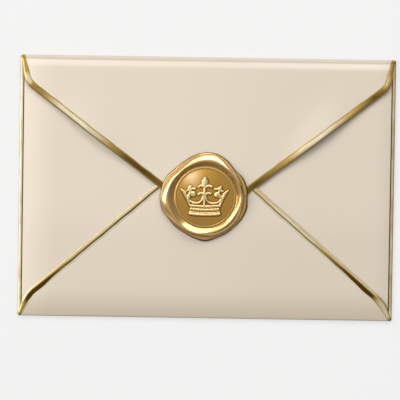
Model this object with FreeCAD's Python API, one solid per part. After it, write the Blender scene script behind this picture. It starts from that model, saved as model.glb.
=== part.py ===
import FreeCAD
import Part
import math
import os

# A closed paper envelope with gold edges and a stamped wax seal, lying on its front panel.
# Millimetres. The origin is at the centre of the underside. X runs along the envelope,
# +Y points to the fold of the top flap, and +Z points up through the flaps to the seal.

# The folded sheet
envelope_width = 162.0
envelope_height = 114.0
paper_thickness = 0.3
pocket_depth = 1.0              # room for a card between the front panel and the side flaps
corner_gap = 0.5                # the side folds stop this far short of the folds that cross them

# The gold edges
gold_thickness = 0.15
top_gold_width = 3.0
bottom_gold_width = 2.2
fold_gold_lip = 0.6             # how far the gold of a side fold runs on over its flap
fold_gold_start = 20.0          # degrees below the widest point of the fold where that gold starts
gold_play = 0.05                # air between the gold of one flap and the flap above it

# The top flap, measured from its fold
top_flap_depth = 72.6           # to the point where its two straight edges would meet
top_shoulder_drop = 11.0
top_shoulder_radius = 8.5
top_tip_radius = 9.0

# The bottom flap, measured from its fold; its two shoulders are cut to different depths
tip_overlap = 35.1              # how far the points of the top and bottom flaps pass each other
bottom_left_shoulder = 6.9
bottom_right_shoulder = 4.7
bottom_shoulder_radius = 3.0
bottom_tip_radius = 10.0
bottom_tip_aside = 1.0          # the point lies this far left of the middle

# The side flaps and the gum on them
side_flap_inset = 1.7           # each end of the flap starts this far from the crossing fold
side_tip_radius = 5.0
seam_overlap = 6.5              # how far a side flap reaches in under the edges of the other flaps
gum_margin = 0.8                # bare paper between the gum and the edges of both flaps
gum_middle_gap = 24.0           # the strip of gum ends this far from the middle of the envelope
gum_fold_gap = 19.0             # and this far from the side fold

# The wax seal
seal_aside = -0.5
seal_above_tip = 11.95          # from the point of the top flap up to the middle of the stamp
seal_radius = 18.7
seal_lobes = (-0.5, -0.1, -1.1, 0.8, 0.7, 0.1, 0.3, 0.6, 1.2, 0.7, -0.6, -0.9, 0.5, -1.3, -1.3, -0.7)
seal_lip_height = 1.0           # the thin wax that ran out from under the rim
seal_lip_width = 0.5
seal_lip_rounding = 0.4
seal_rim_height = 3.2
seal_rim_rounding = 0.8
rounding_steps = 3              # flats round each rounded edge of the wax
stamp_radius = 13.7             # the flat disc that the stamp left
stamp_wall_width = 1.3
stamp_edge_ease = 0.5
stamp_floor_height = 1.8
ring_inset = 0.5                # the thin raised ring lies just inside the edge of the disc
ring_width = 0.6
ring_relief = 0.3
crown_relief = 0.5

# The crown on the disc, from the middle of the stamp
crown_middle = -0.5
band_half_width = 6.6
band_ridges = ((-4.3, 0.7), (-7.2, 0.5), (-8.3, 0.8))       # height on the disc and thickness
band_bead_height = -5.8
band_bead_radius = 0.55
band_bead_count = 9
horn_reach = 10.7
horn_tip_height = 3.2
horn_width = 1.3
scallop_middle_height = 0.65
scallop_radius = 3.3
scallop_thickness = 0.8
middle_lily_height = 9.0
middle_lily_length = 11.0
middle_lily_width = 2.6
side_lily_aside = 6.9
side_lily_height = 4.9
side_lily_size = 0.55           # its size against the middle lily
pearl_radius = 0.9
pearl_drop = 3.6                # below the tip of the side lily

# The parts of a lily, as shares of its length or width
leaf_share = 0.45
upper_curl_share = 0.44         # from the tip down to the root of the upper curls
lower_curl_share = 0.73
curl_length_share = 0.27
curl_width_share = 0.42
stem_width_share = 0.35
upper_curl_angle = 35           # degrees above level
lower_curl_angle = 20

# What follows from these sizes
side_flap_top = 2 * paper_thickness + pocket_depth
layer_gap = gold_thickness + gold_play
bottom_flap_top = side_flap_top + layer_gap + paper_thickness
top_flap_top = bottom_flap_top + layer_gap + paper_thickness
bottom_flap_depth = envelope_height - top_flap_depth + tip_overlap
seal_middle = envelope_height / 2 - top_flap_depth + seal_above_tip
stamp_floor = top_flap_top + stamp_floor_height
rim_top = top_flap_top + seal_rim_height


def point(x, y, z=0.0):
    return FreeCAD.Vector(x, y, z)


def rounded_face(corners):
    """A flat face whose corners, given as (x, y, radius), are rounded by their own radius."""
    starts = []
    middles = []
    ends = []
    for index, (x, y, radius) in enumerate(corners):
        here = point(x, y)
        last_x, last_y, _ = corners[index - 1]
        next_x, next_y, _ = corners[(index + 1) % len(corners)]
        back = point(last_x, last_y) - here
        ahead = point(next_x, next_y) - here
        half_angle = back.getAngle(ahead) / 2
        back.normalize()
        ahead.normalize()
        reach = radius / math.tan(half_angle)
        inward = back + ahead
        inward.normalize()
        starts.append(here + back * reach)
        middles.append(here + inward * (radius / math.sin(half_angle) - radius))
        ends.append(here + ahead * reach)
    edges = []
    for index, (_, _, radius) in enumerate(corners):
        if radius > 0:
            edges.append(Part.Arc(starts[index], middles[index], ends[index]).toShape())
        next_start = starts[(index + 1) % len(corners)]
        edges.append(Part.LineSegment(ends[index], next_start).toShape())
    return Part.Face(Part.Wire(edges))


def slab(face, bottom, top):
    """The face pulled up into a plate between two heights."""
    plate = face.copy()
    plate.translate(point(0, 0, bottom))
    return plate.extrude(point(0, 0, top - bottom))


def at_side(shape, turn, distance):
    """What was made at the top fold, with the fold on the X axis, brought to one of the four folds."""
    placed = shape.copy()
    placed.translate(point(0, distance, 0))
    placed.rotate(point(0, 0, 0), point(0, 0, 1), turn)
    return placed


def ring_sector(radius, thickness, start, end):
    """The section of a bent skin: an arc with a thickness, between two angles in the YZ plane."""
    def spot(reach, degrees):
        angle = math.radians(degrees)
        return point(0, -radius + reach * math.cos(angle), radius + reach * math.sin(angle))
    outer = radius + thickness
    middle = (start + end) / 2
    outside = Part.Arc(spot(outer, start), spot(outer, middle), spot(outer, end)).toShape()
    top = Part.LineSegment(spot(outer, end), spot(radius, end)).toShape()
    inside = Part.Arc(spot(radius, end), spot(radius, middle), spot(radius, start)).toShape()
    bottom = Part.LineSegment(spot(radius, start), spot(outer, start)).toShape()
    return Part.Face(Part.Wire([outside, top, inside, bottom]))


def paper_fold(fold_top, start, end):
    """Half a tube of paper along a fold, from the underside of the envelope to fold_top."""
    radius = fold_top / 2
    inner = radius - paper_thickness
    half_ring = ring_sector(inner, paper_thickness, -90, 90)
    half_ring.translate(point(start, -paper_thickness, paper_thickness))
    return half_ring.extrude(point(end - start, 0, 0))


def top_flap_face(extra=0.0):
    """The top flap seen from above, in the envelope's place; extra lengthens it past its fold."""
    half = envelope_width / 2
    fold = envelope_height / 2 - top_flap_top / 2 + extra
    shoulder = envelope_height / 2 - top_shoulder_drop
    tip = envelope_height / 2 - top_flap_depth
    return rounded_face([
        (half, fold, 0),
        (-half, fold, 0),
        (-half, shoulder, top_shoulder_radius),
        (0, tip, top_tip_radius),
        (half, shoulder, top_shoulder_radius)])


def bottom_flap_face(extra=0.0):
    """The bottom flap seen from above, in the envelope's place."""
    half = envelope_width / 2
    fold = -envelope_height / 2 + bottom_flap_top / 2 - extra
    tip = -envelope_height / 2 + bottom_flap_depth
    return rounded_face([
        (-half, fold, 0),
        (half, fold, 0),
        (half, -envelope_height / 2 + bottom_right_shoulder, bottom_shoulder_radius),
        (-bottom_tip_aside, tip, bottom_tip_radius),
        (-half, -envelope_height / 2 + bottom_left_shoulder, bottom_shoulder_radius)])


def side_flap_face():
    """The left side flap seen from above; its edges run along under those of the other two flaps."""
    half = envelope_width / 2
    fold = -half + side_flap_top / 2
    top_slope = (top_flap_depth - top_shoulder_drop) / half
    bottom_slope = (bottom_flap_depth - bottom_left_shoulder) / (half - bottom_tip_aside)
    top_middle = envelope_height / 2 - top_flap_depth + seam_overlap * math.hypot(1, top_slope)
    bottom_middle = -envelope_height / 2 + bottom_flap_depth + bottom_slope * bottom_tip_aside
    bottom_middle -= seam_overlap * math.hypot(1, bottom_slope)
    tip_x = (top_middle - bottom_middle) / (top_slope + bottom_slope)
    wedge = rounded_face([
        (fold, top_middle - top_slope * fold, 0),
        (fold, bottom_middle + bottom_slope * fold, 0),
        (tip_x, top_middle - top_slope * tip_x, side_tip_radius)])
    lower, upper = side_flap_ends()
    window = Part.makePlane(envelope_width / 2, upper - lower, point(fold, lower))
    return wedge.common(window).Faces[0]


def side_flap_ends():
    """The lowest and highest point of a side flap, clear of the folds that cross it."""
    lower = -envelope_height / 2 + bottom_flap_top / 2 + side_flap_inset
    upper = envelope_height / 2 - top_flap_top / 2 - side_flap_inset
    return lower, upper


def mirrored(shape):
    """The same thing on the right side."""
    return shape.mirror(point(0, 0, 0), point(1, 0, 0))


def side_fold():
    """The left fold of the sheet; it stops short of the folds above and below it."""
    upper = envelope_height / 2 - top_flap_top / 2 - corner_gap
    lower = -envelope_height / 2 + bottom_flap_top / 2 + corner_gap
    return at_side(paper_fold(side_flap_top, lower, upper), 90, envelope_width / 2)


def paper_sheet():
    """The whole envelope: one sheet with a front panel, four folds and four flaps."""
    half_width = envelope_width / 2
    half_height = envelope_height / 2
    panel_half = half_width - side_flap_top / 2
    panel_low = -half_height + bottom_flap_top / 2
    panel_high = half_height - top_flap_top / 2
    panel = Part.makeBox(2 * panel_half, panel_high - panel_low, paper_thickness,
                         point(-panel_half, panel_low, 0))
    top_fold = at_side(paper_fold(top_flap_top, -half_width, half_width), 0, half_height)
    bottom_fold = at_side(paper_fold(bottom_flap_top, -half_width, half_width), 180, half_height)
    left_flap = slab(side_flap_face(), side_flap_top - paper_thickness, side_flap_top)
    bottom_flap = slab(bottom_flap_face(), bottom_flap_top - paper_thickness, bottom_flap_top)
    top_flap = slab(top_flap_face(), top_flap_top - paper_thickness, top_flap_top)
    left_fold = side_fold()
    pieces = [left_fold, left_flap, mirrored(left_fold), mirrored(left_flap),
              bottom_fold, bottom_flap, top_fold, top_flap]
    return panel.fuse(pieces).removeSplitter()


def flap_edge_band(flap_face, long_face, width):
    """The strip of a flap along its free edge; long_face runs on past the fold."""
    return flap_face.cut(long_face.makeOffset2D(-width))


def top_flap_gold_edge():
    band = flap_edge_band(top_flap_face(), top_flap_face(2 * top_gold_width), top_gold_width)
    return slab(band, top_flap_top, top_flap_top + gold_thickness)


def bottom_flap_gold_edge():
    band = flap_edge_band(bottom_flap_face(), bottom_flap_face(2 * bottom_gold_width), bottom_gold_width)
    return slab(band, bottom_flap_top, bottom_flap_top + gold_thickness)


def left_fold_gold_edge():
    """Gold round the outside of the left fold and a little way over its flap."""
    radius = side_flap_top / 2
    lower, upper = side_flap_ends()
    bend = ring_sector(radius, gold_thickness, -fold_gold_start, 90)
    bend.translate(point(lower, 0, 0))
    wrap = bend.extrude(point(upper - lower, 0, 0))
    lip = Part.makeBox(upper - lower, fold_gold_lip, gold_thickness,
                       point(lower, -radius - fold_gold_lip, side_flap_top))
    return at_side(wrap.fuse(lip).removeSplitter(), 90, envelope_width / 2)


def seam_glue(side_flap, window_start):
    """Dried gum between a side flap and the bottom flap that lies on it."""
    window = Part.makeBox(envelope_width / 2 - gum_fold_gap - gum_middle_gap, envelope_height, layer_gap,
                          point(window_start, -envelope_height / 2, side_flap_top))
    under = slab(side_flap.makeOffset2D(-gum_margin), side_flap_top, side_flap_top + layer_gap)
    over = slab(bottom_flap_face().makeOffset2D(-gum_margin), side_flap_top, side_flap_top + layer_gap)
    return under.common(over).common(window)


def wax_outline(inset, height):
    """The uneven round outline of the wax, drawn through one radius for each lobe or dip."""
    spots = []
    for index, lobe in enumerate(seal_lobes):
        angle = 2 * math.pi * index / len(seal_lobes)
        reach = seal_radius + lobe - inset
        spots.append(point(reach * math.cos(angle), reach * math.sin(angle), height))
    curve = Part.BSplineCurve()
    curve.interpolate(Points=spots, PeriodicFlag=True)
    return Part.Wire([curve.toShape()])


def wax_layer(inset, top, rounding):
    """A layer of wax with an upright side and a rounded upper edge."""
    outlines = [wax_outline(inset, side_flap_top)]
    for step in range(rounding_steps + 1):
        angle = math.radians(90 * step / rounding_steps)
        reach = rounding * (1 - math.cos(angle))
        outlines.append(wax_outline(inset + reach, top - rounding * (1 - math.sin(angle))))
    return Part.makeLoft(outlines, True, True)


def stamp_hollow():
    """The room that the stamp pressed into the wax: a flat disc, a sloping wall and an eased edge."""
    wall_foot = point(0, 0, stamp_floor)
    wall_radius = stamp_radius + stamp_wall_width
    wall_top = rim_top - stamp_edge_ease
    wall = Part.makeCone(stamp_radius, wall_radius, wall_top - stamp_floor, wall_foot)
    ease = Part.makeCone(wall_radius, wall_radius + stamp_edge_ease, stamp_edge_ease, point(0, 0, wall_top))
    return wall.fuse(ease)


def stamp_ring():
    """The thin raised ring on the disc."""
    outer = stamp_radius - ring_inset
    height = 2 * ring_relief
    foot = point(0, 0, stamp_floor - ring_relief)
    ring = Part.makeCylinder(outer, height, foot)
    return ring.cut(Part.makeCylinder(outer - ring_width, height, foot))


def petal(x, y, length, width, direction):
    """A pointed leaf, from (x, y) towards a direction in degrees; two arcs that meet at its tips."""
    angle = math.radians(direction)
    along = point(math.cos(angle), math.sin(angle))
    across = point(-along.y, along.x)
    start = point(x, y)
    end = start + along * length
    middle = start + along * (length / 2)
    left = Part.Arc(start, middle + across * (width / 2), end).toShape()
    right = Part.Arc(end, middle - across * (width / 2), start).toShape()
    return Part.Face(Part.Wire([left, right]))


def disc(x, y, radius):
    circle = Part.Circle(point(x, y), point(0, 0, 1), radius)
    return Part.Face(Part.Wire([circle.toShape()]))


def lily(x, tip, size):
    """A lily of the kind on old crowns: a tall leaf, two pairs of curls and a stem."""
    length = middle_lily_length * size
    width = middle_lily_width * size
    leaf = length * leaf_share
    curl = length * curl_length_share
    curl_width = width * curl_width_share
    faces = [
        petal(x, tip - leaf, leaf, width, 90),
        petal(x, tip - length, length, width * stem_width_share, 90)]
    for share, angle in ((upper_curl_share, upper_curl_angle), (lower_curl_share, lower_curl_angle)):
        root = tip - length * share
        faces.append(petal(x, root, curl, curl_width, angle))
        faces.append(petal(x, root, curl, curl_width, 180 - angle))
    return faces


def scallop(x):
    """One swag of the crown between the stem of its middle lily and a horn."""
    hoop = disc(x, scallop_middle_height, scallop_radius)
    hole = disc(x, scallop_middle_height, scallop_radius - scallop_thickness)
    lower_half = Part.makePlane(2 * scallop_radius, scallop_radius,
                                point(x - scallop_radius, scallop_middle_height - scallop_radius))
    return hoop.cut(hole).common(lower_half)


def crown_faces():
    """The flat shapes that the crown is made of, from the middle of the stamp."""
    faces = lily(crown_middle, middle_lily_height, 1.0)
    for height, thickness in band_ridges:
        faces.append(Part.makePlane(2 * band_half_width, thickness,
                                    point(crown_middle - band_half_width, height - thickness / 2)))
    for index in range(band_bead_count):
        share = (index + 0.5) / band_bead_count
        x = crown_middle + band_half_width * (2 * share - 1)
        faces.append(disc(x, band_bead_height, band_bead_radius))
    for side in (-1, 1):
        foot_x = crown_middle + side * (band_half_width - horn_width / 2)
        foot_y = band_ridges[0][0]
        tip_x = crown_middle + side * horn_reach
        run = math.hypot(tip_x - foot_x, horn_tip_height - foot_y)
        direction = math.degrees(math.atan2(horn_tip_height - foot_y, tip_x - foot_x))
        faces.append(petal(foot_x, foot_y, run, horn_width, direction))
        lily_x = crown_middle + side * side_lily_aside
        faces += lily(lily_x, side_lily_height, side_lily_size)
        faces.append(disc(lily_x - side * pearl_radius, side_lily_height - pearl_drop, pearl_radius))
        faces.append(scallop(crown_middle + side * scallop_radius))
    return faces


def crown():
    """The raised crown; its underside is sunk a little into the disc."""
    root = stamp_floor - crown_relief
    solids = [slab(face, root, stamp_floor + crown_relief) for face in crown_faces()]
    return solids[0].fuse(solids[1:])


def wax_seal():
    """One casting: the wax with its lip, rim, stamped disc, ring and crown, bedded on the flaps."""
    lip = wax_layer(0, top_flap_top + seal_lip_height, seal_lip_rounding)
    rim = wax_layer(seal_lip_width, rim_top, seal_rim_rounding)
    casting = lip.fuse(rim).cut(stamp_hollow()).fuse([stamp_ring(), crown()])
    casting.translate(point(seal_aside, seal_middle, 0))
    under_top = slab(top_flap_face(), 0, top_flap_top)
    under_bottom = slab(bottom_flap_face(), 0, bottom_flap_top)
    under_sides = Part.makeBox(envelope_width, envelope_height, side_flap_top,
                               point(-envelope_width / 2, -envelope_height / 2, 0))
    beds = [under_top, under_bottom, under_sides, top_flap_gold_edge(), bottom_flap_gold_edge()]
    return casting.cut(beds).removeSplitter()


def write(name, shape):
    shape.exportStep(os.path.join("parts", name + ".step"))


def main():
    os.makedirs("parts", exist_ok=True)
    fold_gold = left_fold_gold_edge()
    left_flap = side_flap_face()
    write("paper_sheet", paper_sheet())
    write("top_flap_gold_edge", top_flap_gold_edge())
    write("bottom_flap_gold_edge", bottom_flap_gold_edge())
    write("left_fold_gold_edge", fold_gold)
    write("right_fold_gold_edge", mirrored(fold_gold))
    write("left_seam_glue", seam_glue(left_flap, gum_fold_gap - envelope_width / 2))
    write("right_seam_glue", seam_glue(mirrored(left_flap), gum_middle_gap))
    write("wax_seal", wax_seal())


main()
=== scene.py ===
import math

import bmesh
import bpy
import numpy as np
from mathutils import Matrix, Vector


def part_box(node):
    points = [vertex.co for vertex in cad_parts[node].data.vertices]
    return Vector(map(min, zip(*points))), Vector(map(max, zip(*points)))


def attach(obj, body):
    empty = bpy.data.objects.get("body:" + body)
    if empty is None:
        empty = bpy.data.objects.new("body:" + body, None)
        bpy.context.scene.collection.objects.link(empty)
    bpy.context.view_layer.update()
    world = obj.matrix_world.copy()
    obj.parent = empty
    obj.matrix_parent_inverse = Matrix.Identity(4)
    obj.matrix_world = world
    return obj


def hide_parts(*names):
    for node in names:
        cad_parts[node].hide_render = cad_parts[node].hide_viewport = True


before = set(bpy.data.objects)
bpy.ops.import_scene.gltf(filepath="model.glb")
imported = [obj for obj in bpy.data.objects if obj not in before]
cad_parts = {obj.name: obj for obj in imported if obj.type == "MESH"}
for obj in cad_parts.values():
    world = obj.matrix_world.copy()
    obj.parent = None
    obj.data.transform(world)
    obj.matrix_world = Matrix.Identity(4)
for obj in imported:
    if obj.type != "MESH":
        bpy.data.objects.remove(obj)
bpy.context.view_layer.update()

# A closed paper envelope with gold edges and a stamped wax seal. Lengths are in metres.

bl_info = {
    "name": "Sealed Paper Envelope",
    "version": (1, 0, 0),
    "blender": (4, 5, 0),
    "location": "View3D > Sidebar > Envelope",
    "description": "Folds a paper envelope, gilds its edges and presses its wax seal",
    "category": "Add Mesh",
}

MM = 0.001
BODY = "root"
PAPER_HIGH = Vector(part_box("paper_sheet")[1])


def length(name, description, default):
    return bpy.props.FloatProperty(name=name, description=description, default=default, unit="LENGTH",
                                   precision=5)


def colour(name, description, default):
    return bpy.props.FloatVectorProperty(name=name, description=description, default=default,
                                         subtype="COLOR", size=3, min=0, max=1)


def amount(name, description, default):
    return bpy.props.FloatProperty(name=name, description=description, default=default, min=0)


def settings(group):
    """The sizes and colours of one group, as they stand in the scene."""
    return getattr(bpy.context.scene, "envelope_" + group)


class EnvelopePaper(bpy.types.PropertyGroup):
    """Sizes of the folded sheet and its colour."""
    thickness: length("Thickness", "Thickness of the paper", 0.3 * MM)
    side_edge: length("Side edge", "Height of the envelope at a side fold", 0.85 * MM)
    bottom_edge: length("Bottom edge", "Height of the envelope at the bottom fold", 1.3 * MM)
    corner_edge: length("Corner edge", "Height of the top fold at a corner", 1.35 * MM)
    top_edge: length("Top edge", "Height of the top fold between the corners", 2.3 * MM)
    side_level: length("Side flap level", "Height of the side flaps in the middle", 1.6 * MM)
    bottom_level: length("Bottom flap level", "Height of the bottom flap in the middle", 2.1 * MM)
    top_level: length("Top flap level", "Height of the top flap in the middle", PAPER_HIGH.z)
    left_slope: length("Left slope", "Width over which the left side rises to its level", 12 * MM)
    right_slope: length("Right slope", "Width over which the right side rises to its level", 8 * MM)
    top_slope: length("Top slope", "Width over which the top side rises to its level", 5 * MM)
    bottom_slope: length("Bottom slope", "Width over which the bottom side rises to its level", 15 * MM)
    bow: length("Bow", "How far the free edge of the top flap stands up midway", 1.3 * MM)
    colour: colour("Colour", "Colour of the paper", (0.73, 0.66, 0.56))


class EnvelopeFlaps(bpy.types.PropertyGroup):
    """Outlines of the flaps."""
    inset: length("Inset", "How far the flaps' ends stand in from the side folds", 0.3 * MM)
    top_lean: length("Top lean", "How much further in the top flap's shoulders stand", 1.7 * MM)
    bottom_lean: length("Bottom lean", "How much further in the bottom flap's shoulders stand", 2.4 * MM)
    top_depth: length("Top depth", "From the top fold to the point of its flap", 72.5 * MM)
    top_aside: length("Top aside", "How far right of the middle the top flap's point is", 0.3 * MM)
    top_shoulder: length("Top shoulder", "From the top fold to the shoulders of its flap", 10.9 * MM)
    top_bend: length("Top bend", "Radius of the shoulders of the top flap", 8.5 * MM)
    top_tip: length("Top tip", "Radius of the tip of the top flap", 9 * MM)
    bottom_depth: length("Bottom depth", "From the bottom fold to the point of its flap", 76.7 * MM)
    bottom_left: length("Bottom left shoulder", "From the bottom fold to the left shoulder", 7.2 * MM)
    bottom_right: length("Bottom right shoulder", "From the bottom fold to the right shoulder", 5.8 * MM)
    bottom_bend: length("Bottom bend", "Radius of the shoulders of the bottom flap", 14 * MM)
    bottom_tip: length("Bottom tip", "Radius of the tip of the bottom flap", 10 * MM)
    bottom_aside: length("Bottom aside", "How far left of the middle the bottom flap's point is", 0.6 * MM)
    overlap: length("Overlap", "How far the side flaps reach in under the others", 6.5 * MM)
    side_inset: length("Side inset", "From a crossing fold to the end of a side flap", 1.7 * MM)
    side_tip: length("Side tip", "Radius of the tip of a side flap", 5 * MM)


class EnvelopeGold(bpy.types.PropertyGroup):
    """Sizes of the gold edges and their colours."""
    top_width: length("Top width", "Width of the gold on the top flap", 2.9 * MM)
    top_corner_width: length("Top corner width", "Width of that gold where it starts at the fold", 1.7 * MM)
    top_height: length("Top height", "How far that gold stands up", 0.30 * MM)
    bottom_width: length("Bottom width", "Width of the gold on the bottom flap", 2.9 * MM)
    bottom_corner_width: length("Bottom corner width", "Width of that gold at the corners", 1.3 * MM)
    bottom_height: length("Bottom height", "How far that gold stands up", 0.16 * MM)
    fold_thickness: length("Fold thickness", "Thickness of the gold on the side folds", 0.12 * MM)
    fold_lip: length("Fold lip", "Width of that gold on the side flap", 1.2 * MM)
    fold_start: length("Fold start", "From a crossing fold to the end of that gold", 0.5 * MM)
    # The foil colours carry painted light: pale for painted highlight, dark for painted shade and dark
    # reflection
    pale: colour("Pale", "Colour of the foil where it is highlighted", (0.95, 0.88, 0.68))
    middle: colour("Middle", "Colour of the foil between", (0.60, 0.41, 0.12))
    dark: colour("Dark", "Colour of the foil where it is thin", (0.08, 0.038, 0.004))


class EnvelopeSeal(bpy.types.PropertyGroup):
    """Sizes of the wax seal and its colour."""
    centre_x: length("Centre X", "Middle of the stamp, left or right", -0.1 * MM)
    centre_y: length("Centre Y", "Middle of the stamp, up or down", -4.2 * MM)
    disc_radius: length("Disc radius", "Radius of the stamped disc", 13.5 * MM)
    floor: length("Floor", "Height of the disc's edge above the flap", 1.3 * MM)
    dome: length("Dome", "How far the middle of the disc stands over its edge", 0.75 * MM)
    rim: length("Rim", "Height of the rim above the flap", 2.85 * MM)
    lip: length("Lip", "Height of the thin wax round the rim", 0.9 * MM)
    relief: length("Relief", "How far the crown stands up", 0.6 * MM)
    colour: colour("Colour", "Colour of the wax", (0.54, 0.288, 0.020))
    # Pale is the colour of the painted highlight on the crown, the thin ring and the rim
    pale: colour("Pale", "Colour of the rubbed crown and ring", (0.88, 0.66, 0.28))


class EnvelopeStage(bpy.types.PropertyGroup):
    """The floor, the light and the camera."""
    floor_colour: colour("Floor colour", "Colour of the floor", (0.85, 0.85, 0.854))
    box_power: amount("Boxes", "Strength of the soft boxes", 1.0)
    sky_top: amount("Sky", "Light from straight above", 0.64)
    sky_side: amount("Sky side", "Light from the sides", 0.42)
    glow: amount("Glow", "Extra light of the patch overhead", 2.3)


# Flap outlines and heights

HALF_WIDTH = PAPER_HIGH.x
HALF_HEIGHT = PAPER_HIGH.y
EDGE_SPACING = 0.35 * MM                # between the points of a flap's free edge
SIDE_EDGE_SPACING = 0.5 * MM            # the same on a side flap, whose edge is hidden
BOW_WIDTH = 9 * MM                      # how far in from its free edge the top flap bows up
BOW_START = 20 * MM                     # and from here to here, outwards from the middle
BOW_END = HALF_WIDTH - 4 * MM


def smooth_rise(distance, width):
    """0 at the edge, 1 from width inwards, steepest at the edge."""
    part = np.clip(distance / width, 0, 1)
    return 1 - (1 - part) ** 2


def smooth_step(value, low, high):
    part = np.clip((value - low) / (high - low), 0, 1)
    return part * part * (3 - 2 * part)


def rounded_line(corners, spacing):
    """Points on a line through (x, y, radius) corners, each rounded by its radius; its ends are sharp."""
    spots = [np.array(corners[0][:2])]
    for before, here, after in zip(corners, corners[1:], corners[2:]):
        corner = np.array(here[:2])
        back = np.array(before[:2]) - corner
        ahead = np.array(after[:2]) - corner
        back /= np.linalg.norm(back)
        ahead /= np.linalg.norm(ahead)
        half = math.acos(np.clip(back @ ahead, -1, 1)) / 2
        inward = (back + ahead) / np.linalg.norm(back + ahead)
        centre = corner + inward * here[2] / math.sin(half)
        first = corner + back * here[2] / math.tan(half) - centre
        last = corner + ahead * here[2] / math.tan(half) - centre
        turn = math.pi - 2 * half
        count = max(3, int(here[2] * turn / spacing))
        for part in np.linspace(0, 1, count):
            spots.append(centre + (math.sin((1 - part) * turn) * first + math.sin(part * turn) * last)
                         / math.sin(turn))
    spots.append(np.array(corners[-1][:2]))
    return evenly(np.array(spots), spacing)


def evenly(spots, spacing):
    """The same line with points at an even spacing."""
    run = np.concatenate([[0], np.cumsum(np.linalg.norm(np.diff(spots, axis=0), axis=1))])
    count = int(run[-1] / spacing) + 1
    wanted = np.linspace(0, run[-1], count)
    return np.stack([np.interp(wanted, run, spots[:, axis]) for axis in (0, 1)], axis=1)


def top_radius(x):
    """Radius of the top fold along X: pinched at the corners, full between them."""
    paper = settings("paper")
    rise = side_rise(x)
    return (paper.corner_edge + (paper.top_edge - paper.corner_edge) * rise) / 2


def side_rise(x):
    paper = settings("paper")
    inset = HALF_WIDTH - paper.side_edge / 2
    return smooth_rise(x + inset, paper.left_slope) * smooth_rise(inset - x, paper.right_slope)


def rise(x, y):
    """How much of its full level the sheet has reached: 0 at the folds, 1 in the middle."""
    paper = settings("paper")
    top = smooth_rise(HALF_HEIGHT - top_radius(x) - y, paper.top_slope)
    bottom = smooth_rise(y + HALF_HEIGHT - paper.bottom_edge / 2, paper.bottom_slope)
    return side_rise(x) * top * bottom


def side_height(x, y):
    """Height of the upper face of the side flaps."""
    paper = settings("paper")
    return paper.side_edge + (paper.side_level - paper.side_edge) * rise(x, y)


def bottom_height(x, y):
    """Height of the upper face of the bottom flap."""
    paper = settings("paper")
    return paper.bottom_edge + (paper.bottom_level - paper.bottom_edge) * rise(x, y)


def top_height(x, y):
    """Height of the upper face of the top flap, with its free edges bowed up midway."""
    paper = settings("paper")
    fold = 2 * top_radius(x)
    level = fold + (paper.top_level - fold) * rise(x, y)
    flaps = settings("flaps")
    slope = (flaps.top_depth - flaps.top_shoulder) / HALF_WIDTH
    tip = HALF_HEIGHT - flaps.top_depth
    inward = (y - tip - slope * np.abs(x - flaps.top_aside)) / math.hypot(1, slope)
    near_edge = np.exp(-(np.clip(inward, 0, None) / BOW_WIDTH) ** 2)
    midway = np.sin(math.pi * smooth_step(np.abs(x), BOW_START, BOW_END)) ** 2
    return level + paper.bow * near_edge * midway


def flap_line(side, depth, aside, left, right, lean, bends, fold_radius):
    """A flap's free edge from its left to its right end; side is 1 for the top flap, -1 for the bottom."""
    end = HALF_WIDTH - settings("flaps").inset
    start = side * (HALF_HEIGHT - fold_radius)
    tip = HALF_HEIGHT - depth
    left_slope = (HALF_HEIGHT - left - tip) / (HALF_WIDTH + aside)
    right_slope = (HALF_HEIGHT - right - tip) / (HALF_WIDTH - aside)
    shoulder = end - lean
    return rounded_line([
        (-end, start, 0),
        (-shoulder, side * (tip + left_slope * (shoulder + aside)), bends[0]),
        (aside, side * tip, bends[1]),
        (shoulder, side * (tip + right_slope * (shoulder - aside)), bends[0]),
        (end, start, 0)], EDGE_SPACING)


def top_outline():
    flaps = settings("flaps")
    radius = float(top_radius(np.array(HALF_WIDTH)))
    return flap_line(1, flaps.top_depth, flaps.top_aside, flaps.top_shoulder, flaps.top_shoulder,
                     flaps.top_lean, (flaps.top_bend, flaps.top_tip), radius)


def bottom_outline():
    flaps = settings("flaps")
    paper = settings("paper")
    return flap_line(-1, flaps.bottom_depth, -flaps.bottom_aside, flaps.bottom_left, flaps.bottom_right,
                     flaps.bottom_lean, (flaps.bottom_bend, flaps.bottom_tip), paper.bottom_edge / 2)


def side_flap_ends():
    """The lowest and highest point of a side flap."""
    flaps = settings("flaps")
    paper = settings("paper")
    low = -HALF_HEIGHT + paper.bottom_level / 2 + flaps.side_inset
    high = HALF_HEIGHT - paper.top_level / 2 - flaps.side_inset
    return low, high


def side_outline():
    """The left side flap's free edge, from its lower end to its tip to its upper end."""
    flaps = settings("flaps")
    paper = settings("paper")
    fold = -HALF_WIDTH + paper.side_edge / 2
    top_slope = (flaps.top_depth - flaps.top_shoulder) / HALF_WIDTH
    bottom_slope = (flaps.bottom_depth - flaps.bottom_left) / (HALF_WIDTH - flaps.bottom_aside)
    top_middle = HALF_HEIGHT - flaps.top_depth + flaps.overlap * math.hypot(1, top_slope)
    bottom_middle = flaps.bottom_depth - HALF_HEIGHT + bottom_slope * flaps.bottom_aside
    bottom_middle -= flaps.overlap * math.hypot(1, bottom_slope)
    tip = (top_middle - bottom_middle) / (top_slope + bottom_slope)
    return rounded_line([
        (fold, bottom_middle + bottom_slope * fold, 0),
        (tip, top_middle - top_slope * tip, flaps.side_tip),
        (fold, top_middle - top_slope * fold, 0)], SIDE_EDGE_SPACING)


# Shared mesh helpers

MERGE_DISTANCE = 1e-7


def finished(name, bm, material, replaced=(), sharp_angle=40):
    """A mesh object at the origin that rides on the part."""
    mesh = bpy.data.meshes.new(name)
    bm.to_mesh(mesh)
    bm.free()
    for polygon in mesh.polygons:
        polygon.use_smooth = True
    mesh.set_sharp_from_angle(angle=math.radians(sharp_angle))
    piece = bpy.data.objects.new(name, mesh)
    bpy.context.collection.objects.link(piece)
    mesh.materials.append(material)
    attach(piece, BODY)
    if replaced:
        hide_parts(*replaced)
    return piece


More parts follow.
